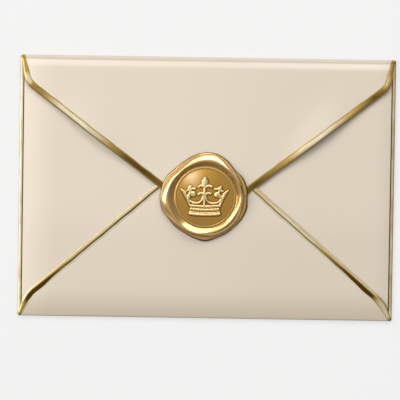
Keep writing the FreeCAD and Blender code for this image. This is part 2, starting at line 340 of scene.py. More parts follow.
def swept(places, tones):
    """A closed bar from places [station, spot round the section, axis] and tones [station, spot]."""
    stations, rounds, _ = places.shape
    bm = bmesh.new()
    bmesh.ops.create_grid(bm, x_segments=stations - 1, y_segments=rounds, size=1)
    # The painted light of the foil, on each point
    tone = bm.verts.layers.float.new("tone")
    for vert in bm.verts:
        station = round((vert.co.x + 1) / 2 * (stations - 1))
        spot = round((vert.co.y + 1) / 2 * rounds) % rounds
        vert.co = places[station, spot]
        vert[tone] = tones[station, spot]
    bmesh.ops.remove_doubles(bm, verts=bm.verts, dist=MERGE_DISTANCE)
    open_edges = [edge for edge in bm.edges if edge.is_boundary]
    bmesh.ops.holes_fill(bm, edges=open_edges, sides=rounds)
    bmesh.ops.recalc_face_normals(bm, faces=bm.faces)
    return bm


# The folded sheet

PANEL_COLUMNS = 140
PANEL_ROWS = 72
FOLD_STEPS = 8
FLAP_STEPS = 46
SIDE_STEPS = 38
FOLD_SHADE_MIDDLE = 0.62 * FOLD_STEPS         # painted shade on a fold is darkest at this step
FOLD_SHADE_SPREAD = 0.36 * FOLD_STEPS
PICK_TOLERANCE = 1e-6


def extended(bm, edges, steps, place):
    """Extrude a border row by row; place(panel x, panel y, step) says where each new point goes."""
    panel_x = bm.verts.layers.float["panel_x"]
    panel_y = bm.verts.layers.float["panel_y"]
    crease = bm.verts.layers.float["crease"]
    for step in range(1, steps + 1):
        made = bmesh.ops.extrude_edge_only(bm, edges=edges)["geom"]
        verts = [item for item in made if isinstance(item, bmesh.types.BMVert)]
        fresh = set(verts)
        edges = [item for item in made if isinstance(item, bmesh.types.BMEdge)
                 and item.verts[0] in fresh and item.verts[1] in fresh]
        across = np.array([vert[panel_x] for vert in verts])
        along = np.array([vert[panel_y] for vert in verts])
        # Painted shade, darkest partway round each fold
        fold_shade = math.exp(-((step - FOLD_SHADE_MIDDLE) / FOLD_SHADE_SPREAD) ** 2)
        for vert, spot in zip(verts, place(across, along, step)):
            vert.co = spot
            vert[crease] = fold_shade


def fold_then_flap(radius, fold_line, edge, height, steps):
    """Where a flap's points go, in steps: round the fold, then over the flap to its free edge.

    fold_line is the outermost line of the fold, edge the free edge, both as functions of the place
    along the fold; the returned function gives the distance along the flap's own direction."""
    def place(along, step):
        bend = radius(along)
        if step <= FOLD_STEPS:
            angle = math.radians(-90 + 180 * step / FOLD_STEPS)
            return fold_line - bend * (1 - math.cos(angle)), bend * (1 + math.sin(angle))
        part = (step - FOLD_STEPS) / steps
        reach = (fold_line - bend) * (1 - part) + edge(along) * part
        return reach, height(along, reach)
    return place


def row_places():
    """Y of the panel's rows; two of them are the ends of the side flaps."""
    paper = settings("paper")
    low, high = side_flap_ends()
    bottom = -HALF_HEIGHT + paper.bottom_edge / 2
    rows = [bottom, (bottom + low) / 2]
    rows += list(np.linspace(low, high, PANEL_ROWS - 3))
    rows += [(high + HALF_HEIGHT - paper.top_edge / 2) / 2, HALF_HEIGHT]
    return np.array(rows)


def folded_sheet():
    """The outer face of the sheet: the front panel, four folds and four flaps."""
    paper = settings("paper")
    bm = bmesh.new()
    panel_x = bm.verts.layers.float.new("panel_x")
    panel_y = bm.verts.layers.float.new("panel_y")
    bm.verts.layers.float.new("crease")
    bmesh.ops.create_grid(bm, x_segments=PANEL_COLUMNS, y_segments=PANEL_ROWS, size=1)
    rows = row_places()
    half_panel = HALF_WIDTH - paper.side_edge / 2
    for vert in bm.verts:
        row = round((vert.co.y + 1) / 2 * PANEL_ROWS)
        x = half_panel * math.sin(math.pi / 2 * vert.co.x)
        y = rows[row]
        if row == PANEL_ROWS:
            y = HALF_HEIGHT - float(top_radius(np.array(x)))
        vert[panel_x] = x
        vert[panel_y] = y
        vert.co = (x, y, 0)
    low, high = side_flap_ends()
    rim = [edge for edge in bm.edges if edge.is_boundary]
    top = [edge for edge in rim if all(vert.co.y > rows[-2] for vert in edge.verts)]
    bottom = [edge for edge in rim if all(vert.co.y <= rows[0] for vert in edge.verts)]
    left, right = ([edge for edge in rim
                    if all(side * vert.co.x > half_panel - PICK_TOLERANCE
                           and low - PICK_TOLERANCE < vert.co.y < high + PICK_TOLERANCE
                           for vert in edge.verts)] for side in (-1, 1))
    widen = (HALF_WIDTH - settings("flaps").inset) / half_panel
    upper, lower, inner = top_outline(), bottom_outline(), side_outline()
    top_place = fold_then_flap(top_radius, HALF_HEIGHT, lambda x: np.interp(x, upper[:, 0], upper[:, 1]),
                               top_height, FLAP_STEPS)
    bottom_place = fold_then_flap(
        lambda x: np.full_like(x, paper.bottom_edge / 2), HALF_HEIGHT,
        lambda x: -np.interp(x, lower[:, 0], lower[:, 1]), lambda x, y: bottom_height(x, -y), FLAP_STEPS)

    def over_fold(side, place):
        def over(x, y, step):
            wide = x * (1 + (widen - 1) * min(1, step / FOLD_STEPS))
            reach, height = place(wide, step)
            return np.stack([wide, side * reach, height], axis=1)
        return over

    def over_side(side):
        place = fold_then_flap(
            lambda y: np.full_like(y, paper.side_edge / 2), HALF_WIDTH,
            lambda y: -np.interp(y, inner[:, 1], inner[:, 0]), lambda y, x: side_height(side * x, y),
            SIDE_STEPS)

        def over(x, y, step):
            reach, height = place(y, step)
            return np.stack([side * reach, y, height], axis=1)
        return over

    extended(bm, top, FOLD_STEPS + FLAP_STEPS, over_fold(1, top_place))
    extended(bm, bottom, FOLD_STEPS + FLAP_STEPS, over_fold(-1, bottom_place))
    extended(bm, left, FOLD_STEPS + SIDE_STEPS, over_side(-1))
    extended(bm, right, FOLD_STEPS + SIDE_STEPS, over_side(1))
    bm.normal_update()
    bm.faces.ensure_lookup_table()
    if bm.faces[0].normal.z > 0:
        bmesh.ops.reverse_faces(bm, faces=bm.faces)
    return bm


def with_thickness(bm, thickness):
    """The sheet with its inner face and its cut edges."""
    mesh = bpy.data.meshes.new("sheet_face")
    bm.to_mesh(mesh)
    bm.free()
    blank = bpy.data.objects.new("sheet_face", mesh)
    bpy.context.collection.objects.link(blank)
    solidify = blank.modifiers.new("paper", "SOLIDIFY")
    solidify.thickness = thickness
    solidify.offset = -1
    thick = bpy.data.meshes.new_from_object(blank.evaluated_get(bpy.context.evaluated_depsgraph_get()))
    bpy.data.objects.remove(blank)
    thick_bm = bmesh.new()
    thick_bm.from_mesh(thick)
    return thick_bm


class ENVELOPE_OT_paper(bpy.types.Operator):
    """Folds the sheet: the front panel, the folds and the four flaps"""
    bl_idname = "envelope.paper"
    bl_label = "Fold the sheet"

    def execute(self, context):
        paper = settings("paper")
        sheet = with_thickness(folded_sheet(), paper.thickness)
        finished("folded_sheet", sheet, paper_finish(), ["paper_sheet"])
        return {"FINISHED"}


# The gold edges

def inward_normals(line, inside):
    """Unit vectors square to the line, pointing to the side where the point inside lies."""
    run = np.gradient(line, axis=0)
    run /= np.linalg.norm(run, axis=1)[:, None]
    normals = np.stack([-run[:, 1], run[:, 0]], axis=1)
    middle = len(line) // 4
    if normals[middle] @ (np.array(inside) - line[middle]) < 0:
        normals = -normals
    return normals


# A raised band's section as (share of the width, share of the height, share of the paper's thickness)
BAND_ARCH = 21
ARCH_PEAK = 0.4                         # share of the width at which the arch is highest
BAND_BACK = ((0.97, -0.25, 0), (0.03, -0.25, 0), (-0.02, 0, 1.0), (-0.035, 0, 0.9), (-0.035, 0, 0.1))


def arch_places():
    """Shares of the width at which a band's arch has its points."""
    return np.array([spot[0] for spot in band_arch()])


def band_arch():
    """The arch of a band's section: steep at the free edge, gentle on the inner side."""
    half = BAND_ARCH // 2
    outer = [(part, (1 - abs(part / ARCH_PEAK - 1) ** 2.6) ** 0.62, 0)
             for part in np.linspace(0, ARCH_PEAK, half)]
    inner = [(part, max(0, math.cos(math.pi / 2 * (part - ARCH_PEAK) / (1 - ARCH_PEAK))) ** 1.3, 0)
             for part in np.linspace(ARCH_PEAK, 1, BAND_ARCH - half + 1)[1:]]
    return outer + inner


def flap_band(line, inside, height, widths, stand, thickness):
    """Places of a raised gold band along a flap's free edge; it also covers the paper's cut edge."""
    section = np.array(band_arch() + list(BAND_BACK))
    normals = inward_normals(line, inside)
    across = section[:, 0][None, :] * widths[:, None]
    flat = line[:, None, :] + normals[:, None, :] * across[:, :, None]
    surface = height(flat[:, :, 0], flat[:, :, 1])
    fullness = (widths / widths.max())[:, None] ** 0.5
    raised = surface + section[:, 1][None, :] * stand * fullness - section[:, 2][None, :] * thickness
    return np.concatenate([flat, raised[:, :, None]], axis=2)


def wrapped(places, fold_radius, side):
    """Bend the ends of a band round the fold that they run out on; side is 1 at the top, -1 below."""
    radius = fold_radius(places[:, :, 0])
    fold_start = HALF_HEIGHT - radius
    beyond = side * places[:, :, 1] - fold_start
    angle = np.clip(beyond, 0, None) / radius
    over = places[:, :, 2] - 2 * radius
    bent = places.copy()
    bent[:, :, 1] = np.where(beyond > 0, side * (fold_start + (radius + over) * np.sin(angle)),
                             places[:, :, 1])
    bent[:, :, 2] = np.where(beyond > 0, radius + (radius + over) * np.cos(angle), places[:, :, 2])
    return bent


def end_distance(line):
    """Distance of each point from the nearer end of the line."""
    run = np.concatenate([[0], np.cumsum(np.linalg.norm(np.diff(line, axis=0), axis=1))])
    return np.minimum(run, run[-1] - run)


def wobble(run, waves):
    """A small fixed unevenness along a line, from (wavelength, amount, start) waves."""
    return sum(amount * np.sin(2 * math.pi * run / wavelength + start) for wavelength, amount, start in waves)


# Painted highlight and painted shade: how bright the foil is, by millimetres from the corner along the band
TOP_LEFT_PAINTED_LIGHT = ((0, 0.1), (2, 0.4), (7, 0.42), (9, 0.85), (12, 0.8), (15, 0.3), (20, 0.34), (29, 0.85),
                  (44, 0.92), (52, 0.72), (66, 0.1), (76, 0.04), (86, 0.15))
TOP_RIGHT_PAINTED_LIGHT = ((0, 0.1), (2, 0.4), (6, 0.5), (9, 0.75), (12, 0.55), (15, 0.2), (20, 0.07), (30, 0.42),
                   (42, 0.8), (52, 0.86), (60, 0.74), (68, 0.38), (83, 0.06), (90, 0.12))
BOTTOM_LEFT_PAINTED_LIGHT = ((0, 0.1), (2, 0.6), (5, 0.5), (9, 0.15), (17, 0.12), (25, 0.3), (34, 0.58), (42, 0.7),
                     (60, 0.78), (80, 0.85))
BOTTOM_RIGHT_PAINTED_LIGHT = ((0, 0.1), (2, 0.8), (9, 0.85), (14, 0.4), (17, 0.08), (27, 0.05), (40, 0.33),
                      (48, 0.78), (56, 0.95), (72, 0.9), (80, 0.75))
# How much of that painted light each part of the width has, from the free edge inwards; the rest is the
# painted shade of the edges
TOP_SECTION = ((0, 0), (0.1, 0.05), (0.18, 0.6), (0.28, 1), (0.8, 1), (0.85, 0.05), (0.92, 0), (1, 0.5))
EDGE_PAINTED_SHADE = 0.4
# The bottom band has a pale outer line, then that tone, a dark line of painted shade and a pale inner line of
# painted highlight
BOTTOM_SECTION = ((0, 0), (0.16, 0), (0.3, 1), (1, 1))
OUTER_TONE = 0.72
DARK_LINE = (0.42, 0.54, 0.64, 0.76)    # shares of the width where it starts, is full, fades and ends
DARK_TONE = 0.02
MIDDLE_DARK_TONE = 0.24                 # on the right, towards the middle of the envelope
# Runs in millimetres from the corner, over which each change happens
DARK_LINE_GROWS = (5, 10)
DARK_LINE_NARROWS = {"left": (14, 30), "right": (20, 34)}
DARK_LINE_EXTRA = {"left": 0.2, "right": 0.18}
RIGHT_CORNER = (10, 15)                 # the pale corner end of painted highlight, and its lesser one on the left
LEFT_CORNER = (5, 9)
RIGHT_DARK_FADES = (30, 46)
# Painted shade on the rims of the pale corner ends
CORNER_RIM_TONE = 0.1
# How dark the back and the cut edge are against the outer edge: painted shade
BACK_SHARE = {"top": 0.6, "bottom": 0.7}


def painted_band_light(line, left, right):
    """Painted light along a band and the distance from its nearer end, in millimetres."""
    distance = end_distance(line) / MM
    tone = np.where(line[:, 0] < 0, np.interp(distance, *zip(*left)), np.interp(distance, *zip(*right)))
    return tone[:, None], distance[:, None]


def whole_section(across, back):
    """Painted light over the arch, and the back with the outer edge's painted light, darkened as painted
    shade.
    """
    return np.concatenate([across, np.repeat(across[:, :1] * back, len(BAND_BACK), axis=1)], axis=1)


def top_painted_light(line):
    """A painted bright or dark middle between two even edges of painted shade."""
    tone, _ = painted_band_light(line, TOP_LEFT_PAINTED_LIGHT, TOP_RIGHT_PAINTED_LIGHT)
    part = np.interp(arch_places(), *zip(*TOP_SECTION))[None, :]
    return whole_section(EDGE_PAINTED_SHADE + (tone - EDGE_PAINTED_SHADE) * part, BACK_SHARE["top"])


def bottom_painted_light(line):
    """A plain outer part, a dark line of painted shade that is wider near the corners, and a pale inner line
    of painted highlight.
    """
    tone, distance = painted_band_light(line, BOTTOM_LEFT_PAINTED_LIGHT, BOTTOM_RIGHT_PAINTED_LIGHT)
    place = arch_places()[None, :]
    part = np.interp(place, *zip(*BOTTOM_SECTION))
    shade = OUTER_TONE + (tone - OUTER_TONE) * part
    right = line[:, :1] > 0
    left_extra, right_extra = (DARK_LINE_EXTRA[side] * (1 - smooth_step(distance, *DARK_LINE_NARROWS[side]))
                               for side in ("left", "right"))
    wider = np.where(right, right_extra, left_extra) * smooth_step(distance, *DARK_LINE_GROWS)
    start, full, fading, end = DARK_LINE
    dark_share = smooth_step(place, start - wider, full - wider)
    dark_share = dark_share * np.where(right, smooth_step(distance, *RIGHT_CORNER), 1)
    faded = (MIDDLE_DARK_TONE - DARK_TONE) * smooth_step(distance, *RIGHT_DARK_FADES)
    shade = shade + (DARK_TONE + np.where(right, faded, 0) - shade) * dark_share
    shade = shade + (1 - shade) * smooth_step(place, fading + wider, end + wider)
    corner = np.where(right, 1 - smooth_step(distance, *RIGHT_CORNER),
                      0.5 - 0.5 * smooth_step(distance, *LEFT_CORNER))
    flare = tone + (CORNER_RIM_TONE - tone) * np.abs(2 * place - 1) ** 6
    return whole_section(shade + (flare - shade) * corner, BACK_SHARE["bottom"])


def beyond_ends(line, extra):
    """The line with both ends drawn out."""
    steps = np.linspace(1, 1 / 4, 4)[:, None] * extra
    first = line[0] + steps * (line[0] - line[1]) / np.linalg.norm(line[0] - line[1])
    last = line[-1] + steps[::-1] * (line[-1] - line[-2]) / np.linalg.norm(line[-1] - line[-2])
    return np.concatenate([first, line, last])


WRAP_SHARE = 0.8                        # how far a band runs on round a fold, in radii of the fold
STAND_FROM, STAND_TO = -1 * MM, 4 * MM  # a band rises to its full height over this run
TOP_WIDENING, BOTTOM_WIDENING = 11 * MM, 8 * MM
TOP_WAVES = ((13 * MM, 0.02, 0.4), (7.1 * MM, 0.015, 2.0))
BOTTOM_WAVES = ((17 * MM, 0.03, 1.0), (8.3 * MM, 0.02, 0.2))


def gild_flap(name, side, line, height, fold_radius, tones, sizes, waves):
    """Lay a raised gold band along a flap's free edge and round the fold at both ends.

    sizes are the width at the corners, the full width, the run over which it widens, and the height."""
    corner_width, full_width, widening, stand = sizes
    line = beyond_ends(line, WRAP_SHARE * float(fold_radius(np.array(HALF_WIDTH))))
    run = end_distance(line)
    widths = corner_width + (full_width - corner_width) * smooth_step(run, 0, widening)
    widths = widths * (1 + wobble(run, waves))
    stand = stand * smooth_step(run, STAND_FROM, STAND_TO)[:, None]
    places = flap_band(line, (0, side * HALF_HEIGHT / 2), height, widths, stand, settings("paper").thickness)
    bar = swept(wrapped(places, fold_radius, side), tones(line))
    finished(name, bar, foil_finish(), [name + "_edge"])


class ENVELOPE_OT_flap_gold(bpy.types.Operator):
    """Lays the raised gold bands on the free edges of the top and bottom flaps"""
    bl_idname = "envelope.flap_gold"
    bl_label = "Gild the flaps"

    def execute(self, context):
        gold = settings("gold")
        radius = settings("paper").bottom_edge / 2
        gild_flap("top_flap_gold", 1, top_outline(), top_height, top_radius, top_painted_light,
                  (gold.top_corner_width, gold.top_width, TOP_WIDENING, gold.top_height), TOP_WAVES)
        gild_flap("bottom_flap_gold", -1, bottom_outline(), bottom_height,
                  lambda x: np.full_like(x, radius), bottom_painted_light,
                  (gold.bottom_corner_width, gold.bottom_width, BOTTOM_WIDENING, gold.bottom_height),
                  BOTTOM_WAVES)
        return {"FINISHED"}


class ENVELOPE_OT_fold_gold(bpy.types.Operator):
    """Wraps the gold strips round the two side folds"""
    bl_idname = "envelope.fold_gold"
    bl_label = "Gild the side folds"

    def execute(self, context):
        for name, side in (("left_fold_gold", -1), ("right_fold_gold", 1)):
            finished(name, swept(*fold_strip(side)), foil_finish(), [name + "_edge"])
        return {"FINISHED"}


STRIP_STATIONS = 160
STRIP_TURN = (-35, 90)                  # degrees round the fold, from below its widest point to its top
INNER_FACE = 0.9                        # the strip's hidden face, as a share of the fold's radius
STRIP_DARK, STRIP_PALE = 0.2, 0.95      # painted shade below the fold and painted highlight on top of it
STRIP_LINE_TONE = 0.02                  # the dark line of painted shade on the flap
HIDDEN_TONE = 0.3
STRIP_WAVES = ((31 * MM, 0.1, 0.5), (11 * MM, 0.07, 1.5))
STRIP_STRENGTH = {-1: 1.0, 1: 0.8}      # painted highlight: the left strip is painted brighter than the right one


def fold_strip(side):
    """Places and painted light of the gold strip that wraps a side fold, by its length and its section."""
    paper = settings("paper")
    gold = settings("gold")
    reach = HALF_HEIGHT - gold.fold_start
    along = np.linspace(-reach, reach, STRIP_STATIONS)
    radius = paper.side_edge / 2
    out = radius + gold.fold_thickness
    section = []
    for degrees in np.linspace(*STRIP_TURN, 10):
        angle = math.radians(degrees)
        tone = STRIP_DARK + (STRIP_PALE - STRIP_DARK) * smooth_step(degrees, 40, 70)
        section.append((out * math.cos(angle), radius + out * math.sin(angle), 0, tone))
    for lip in np.linspace(0.08, 1, 12):
        tone = STRIP_PALE + (STRIP_LINE_TONE - STRIP_PALE) * smooth_step(lip, 0.5, 0.68)
        section.append((-gold.fold_lip * lip, 0, gold.fold_thickness * (1 - lip ** 4), tone))
    section.append((-gold.fold_lip * 0.5, 0, -0.3 * gold.fold_thickness, HIDDEN_TONE))
    inner = INNER_FACE * radius
    for degrees in np.linspace(*STRIP_TURN[::-1], 5):
        angle = math.radians(degrees)
        section.append((inner * math.cos(angle), radius + inner * math.sin(angle), 0, HIDDEN_TONE))
    places = np.zeros((len(along), len(section), 3))
    tones = np.zeros((len(along), len(section)))
    end = reach - np.abs(along)
    # Painted shade: the strip is darker towards its ends
    strength = STRIP_STRENGTH[side] * (0.12 + 0.88 * smooth_step(end, 0, 2 * MM))
    uneven = 1 + wobble(along, STRIP_WAVES)
    for index, (across, height, over, tone) in enumerate(section):
        out_from_middle = HALF_WIDTH - radius + across
        places[:, index, 0] = side * out_from_middle
        places[:, index, 1] = along
        places[:, index, 2] = side_height(side * out_from_middle, along) + over if across < 0 else height
        tones[:, index] = tone * strength * uneven
    return places, tones


class ENVELOPE_OT_gum(bpy.types.Operator):
    """Gives the two strips of gum between the flaps their finish"""
    bl_idname = "envelope.gum"
    bl_label = "Finish the gum"

    def execute(self, context):
        finish = gum_finish()
        for name in ("left_seam_glue", "right_seam_glue"):
            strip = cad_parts[name]
            strip.data.materials.clear()
            strip.data.materials.append(finish)
        return {"FINISHED"}


# The wax seal

SEAL_STEPS = 600
SEAL_RINGS = 160
DISC_RINGS = 108
UNDER_RINGS = 6                         # rings of the underside
# Radii in millimetres at even angles from +X round to the left: outline, foot of the rim, top of the rim
OUTLINE = (18.0, 18.3, 18.3, 17.6, 18.8, 19.8, 20.0, 19.5, 18.8, 18.7, 19.5, 19.9,
           20.0, 19.8, 18.7, 18.3, 18.0, 18.4, 18.9, 17.9, 17.6, 17.5, 18.0, 18.3)
RIM_FOOT = (16.3, 16.5, 16.8, 17.1, 18.25, 19.3, 19.4, 18.95, 18.25, 18.15, 18.95, 19.35,
            19.7, 19.2, 17.8, 17.0, 16.7, 16.5, 16.5, 16.3, 16.2, 16.2, 16.2, 16.2)
RIM_TOP = (15.1, 15.2, 15.4, 15.7, 16.1, 16.4, 16.5, 16.4, 16.2, 16.1, 16.4, 16.7,
           16.8, 16.5, 16.1, 15.9, 15.8, 15.6, 15.2, 14.7, 14.45, 14.35, 14.4, 14.7)
DISC_SHIFT = 0.72 * MM
DISC_SHIFT_TURN = math.radians(130)
RIM_DIP = 0.5 * MM                      # how much lower the rim is on one side
RIM_DIP_TURN = math.radians(300)
RIM_LUMPS = ((3, 0.18 * MM, 0.6), (7, 0.1 * MM, 1.9))   # how many round the rim, how high, where they start


def disc_edge(angle):
    """Radius of the flat disc, which the stamp left a little off the middle of the rim."""
    seal = settings("seal")
    return seal.disc_radius + DISC_SHIFT * np.cos(angle - DISC_SHIFT_TURN)


def round_curve(values, angle):
    """A smooth closed curve through values at even angles."""
    values = np.array(values)
    place = np.mod(angle / (2 * math.pi), 1) * len(values)
    first = np.floor(place).astype(int)
    part = place - first
    before, here, after, later = (values[(first + step) % len(values)] for step in (-1, 0, 1, 2))
    return 0.5 * (2 * here + (after - before) * part
                  + (2 * before - 5 * here + 4 * after - later) * part ** 2
                  + (3 * here - before - 3 * after + later) * part ** 3)


# The crown, in millimetres from the middle of the stamp: strokes through (x, y, half width)
CROWN_LEFT = (
    ((-11.4, 3.9, 0.1), (-10.6, 3.0, 0.4), (-9.7, 1.9, 0.62), (-9.0, 0.4, 0.5), (-8.4, -1.0, 0.42),
     (-7.7, -2.6, 0.4), (-7.2, -3.8, 0.4)),
    ((-8.4, -0.4, 0.42), (-7.6, -1.4, 0.34), (-6.3, -2.2, 0.34), (-4.7, -2.5, 0.34), (-3.0, -2.2, 0.34),
     (-1.8, -1.2, 0.34), (-1.3, 0.4, 0.3)),
    ((-7.3, 5.6, 0.1), (-7.25, 4.9, 0.5), (-7.2, 4.3, 0.8), (-7.1, 3.6, 0.5), (-7.1, 2.8, 0.32)),
    ((-7.1, 3.4, 0.3), (-6.2, 4.1, 0.34), (-5.0, 4.0, 0.36)),
    ((-7.2, 3.3, 0.3), (-8.1, 3.4, 0.3), (-8.7, 3.0, 0.26)),
    ((-7.1, 2.9, 0.35), (-7.4, 1.8, 0.4), (-7.8, 0.6, 0.5)),
    ((-6.5, 2.0, 0.5), (-6.0, 1.6, 0.95), (-5.4, 1.1, 0.5)),
    ((-7.9, 0.6, 0.5), (-7.8, 0.2, 0.6), (-7.9, -0.5, 0.4)),
)
CROWN_RIGHT = (
    ((10.2, 3.5, 0.1), (9.4, 2.8, 0.4), (8.5, 1.7, 0.6), (7.9, 0.3, 0.5), (7.3, -1.0, 0.42),
     (6.7, -2.6, 0.4), (6.3, -3.8, 0.4)),
    ((7.2, -0.5, 0.42), (6.3, -1.5, 0.36), (5.0, -2.3, 0.36), (3.4, -2.6, 0.36), (1.7, -2.3, 0.34),
     (0.5, -1.4, 0.34), (0.0, 0.2, 0.3)),
    ((6.7, 5.4, 0.1), (6.5, 4.7, 0.5), (6.3, 4.1, 0.76), (6.1, 3.4, 0.5), (5.9, 2.6, 0.32)),
    ((6.0, 3.4, 0.3), (5.2, 4.0, 0.34), (4.2, 4.0, 0.36)),
    ((6.1, 3.2, 0.3), (7.0, 3.2, 0.3), (7.6, 2.9, 0.26)),
    ((5.9, 2.7, 0.35), (5.7, 1.8, 0.4), (5.1, 1.4, 0.95), (4.4, 0.9, 0.45)),
    ((6.0, 1.4, 0.35), (6.5, 0.6, 0.55), (6.9, 0.2, 0.45), (7.0, -0.7, 0.4)),
)
CROWN_MIDDLE = (
    ((-0.45, 9.5, 0.1), (-0.45, 8.4, 0.6), (-0.5, 7.3, 1.1), (-0.55, 6.4, 1.0), (-0.65, 5.3, 0.5),
     (-0.65, 3.6, 0.42), (-0.65, 1.9, 0.42), (-0.65, 0.3, 0.4), (-0.65, -1.5, 0.34), (-0.65, -3.3, 0.3)),
    ((-0.6, 4.6, 0.36), (-1.4, 5.2, 0.4), (-2.5, 5.5, 0.42), (-3.2, 5.0, 0.36)),
    ((-0.6, 4.6, 0.36), (0.4, 5.2, 0.4), (1.7, 5.4, 0.42), (2.5, 5.0, 0.36)),
    ((-0.6, 1.3, 0.36), (-1.6, 1.9, 0.42), (-2.6, 2.1, 0.44), (-3.3, 1.6, 0.4)),
    ((-0.6, 1.3, 0.36), (0.4, 1.9, 0.42), (1.3, 2.2, 0.42), (2.1, 1.8, 0.38)),
    ((-0.65, 2.4, 0.5), (-0.65, 1.5, 0.85), (-0.65, 0.6, 0.5)),
)
BAND_LINES = ((-3.6, 0.42), (-6.45, 0.24), (-7.45, 0.44))
BAND_ENDS = (-7.1, 6.2)
BAND_SAG = 0.4
BEAD_COUNT = 11
BEAD_HEIGHT = -5.1
BEAD_RADIUS = 0.5
STROKE_WIDENING = 1.4
CROWN_SIZE = 0.955
CROWN_TOP = (-0.6, 9.5)
HIGHLIGHT_PATCH = (-6.2, 7.6, 4.0)       # a painted highlight on the disc: its middle and its radius
RING_INSET, RING_WIDTH, RING_HEIGHT = 0.62 * MM, 0.3 * MM, 0.14 * MM
# A ring of painted shade on the disc, where no hollow is cut
GROOVE_SHADE_INSET, GROOVE_SHADE_WIDTH = 1.15 * MM, 0.2 * MM


def band_stroke(height, half_width):
    """A gently sagging line across the crown's band."""
    left, right = BAND_ENDS
    spots = []
    for part in np.linspace(0, 1, 7):
        spots.append((left + (right - left) * part, height - BAND_SAG * 4 * part * (1 - part), half_width))
    return tuple(spots)


def crown_strokes():
    strokes = list(CROWN_LEFT) + list(CROWN_RIGHT) + list(CROWN_MIDDLE)
    strokes += [band_stroke(height, half_width) for height, half_width in BAND_LINES]
    left, right = BAND_ENDS
    for index in range(BEAD_COUNT):
        part = (index + 0.5) / BEAD_COUNT
        x = left + (right - left) * part
        y = BEAD_HEIGHT - BAND_SAG * 4 * part * (1 - part)
        strokes.append(((x - 0.05, y, BEAD_RADIUS), (x + 0.05, y, BEAD_RADIUS)))
    return strokes


def crown_relief(x, y):
    """Height of the crown over the disc, 0 to 1, and the line of painted shade round it, at places in
    millimetres.
    """
    relief = np.zeros_like(x)
    outside = np.full_like(x, 9.0)
    x = CROWN_TOP[0] + (x - CROWN_TOP[0]) / CROWN_SIZE
    y = CROWN_TOP[1] + (y - CROWN_TOP[1]) / CROWN_SIZE
    for stroke in crown_strokes():
        for (x0, y0, r0), (x1, y1, r1) in zip(stroke, stroke[1:]):
            run = np.array([x1 - x0, y1 - y0])
            size = max(run @ run, 1e-9)
            part = np.clip(((x - x0) * run[0] + (y - y0) * run[1]) / size, 0, 1)
            radius = (r0 + (r1 - r0) * part) * STROKE_WIDENING + 0.08
            distance = np.hypot(x - x0 - run[0] * part, y - y0 - run[1] * part)
            outside = np.minimum(outside, distance - radius)
            tall = np.minimum(1, 0.45 + radius / 0.9)
            relief = np.maximum(relief, tall * np.clip(1 - (distance / radius) ** 3, 0, 1) ** 0.7)
    return relief, np.exp(-((outside - 0.14) / 0.2) ** 2)


def seal_profile(angle, ring):
    """Radius and height over the flap of each point of the wax, by angle and ring (0 to 1)."""
    seal = settings("seal")
    outer = round_curve(OUTLINE, angle) * MM
    body = round_curve(RIM_FOOT, angle) * MM
    crest = round_curve(RIM_TOP, angle) * MM
    lip = outer - body
    lumps = sum(size * np.sin(count * angle + start) for count, size, start in RIM_LUMPS)
    crest_height = seal.rim + lumps - RIM_DIP * np.maximum(0, np.cos(angle - RIM_DIP_TURN)) ** 1.5
    floor = np.full_like(angle, seal.floor)
    lip_height = seal.lip * (0.75 + 0.25 * np.sin(4 * angle))
    disc = disc_edge(angle)
    edge = DISC_RINGS / (SEAL_RINGS - 1)
    rest = 1 - edge
    slope_foot = lip_height + 0.15 * MM
    fall = crest_height - slope_foot
    # From the disc's edge (0) to the foot of the wax (1): the place of each ring, its radius and its height
    knots = [
        (0, disc, floor),
        (0.05, disc + 0.12 * MM, floor - 0.02 * MM),
        (0.16, disc + (crest - disc) * 0.40, floor + (crest_height - floor) * 0.42),
        (0.27, disc + (crest - disc) * 0.82, floor + (crest_height - floor) * 0.88),
        (0.34, crest - 0.12 * MM, crest_height - 0.04 * MM),
        (0.39, crest + 0.12 * MM, crest_height - 0.02 * MM),
        (0.52, crest + (body - crest) * 0.5, crest_height - fall * 0.33),
        (0.64, body - 0.1 * MM, slope_foot + fall * 0.10),
        (0.72, body + 0.04 * MM, slope_foot),
        (0.80, body + lip * 0.3 + 0.08 * MM, lip_height * 0.98),
        (0.88, outer - lip * 0.15, lip_height * 0.85),
        (0.95, outer, lip_height * 0.4),
        (1.0, outer - 0.1 * MM, floor * 0),
    ]
    places = np.array([edge + rest * knot[0] for knot in knots])
    radii = np.stack([knot[1] for knot in knots])
    heights = np.stack([knot[2] for knot in knots])
    radius = knotted(ring, places, radii)
    height = knotted(ring, places, heights)
    inner = ring < edge
    radius = np.where(inner, ring / edge * disc, radius)
    height = np.where(inner, floor, height)
    return radius, height


def knotted(ring, places, values):
    """A smooth curve through knots at uneven places, for each point its own values."""
    slopes = np.zeros_like(values)
    steps = np.diff(places)[:, None]
    rises = np.diff(values, axis=0) / steps
    slopes[1:-1] = np.where(rises[:-1] * rises[1:] > 0,
                            2 * rises[:-1] * rises[1:] / (rises[:-1] + rises[1:] + 1e-12), 0)
    slopes[0] = rises[0]
    slopes[-1] = rises[-1]
    index = np.clip(np.searchsorted(places, ring) - 1, 0, len(places) - 2)
    points = np.arange(len(ring))
    width = places[index + 1] - places[index]
    part = np.clip((ring - places[index]) / width, 0, 1)
    low, high = values[index, points], values[index + 1, points]
    low_slope, high_slope = slopes[index, points] * width, slopes[index + 1, points] * width
    return ((2 * part ** 3 - 3 * part ** 2 + 1) * low + (part ** 3 - 2 * part ** 2 + part) * low_slope
            + (3 * part ** 2 - 2 * part ** 3) * high + (part ** 3 - part ** 2) * high_slope)


def inside_outline(x, y, line):
    """1 where a place lies above the flap edge given as a line with rising X, else 0."""
    return y > np.interp(x, line[:, 0], line[:, 1])


def bed_height(x, y):
    """Height of what lies under the wax."""
    on_top = inside_outline(x, y, top_outline())
    return np.where(on_top, top_height(x, y), bottom_height(x, y))


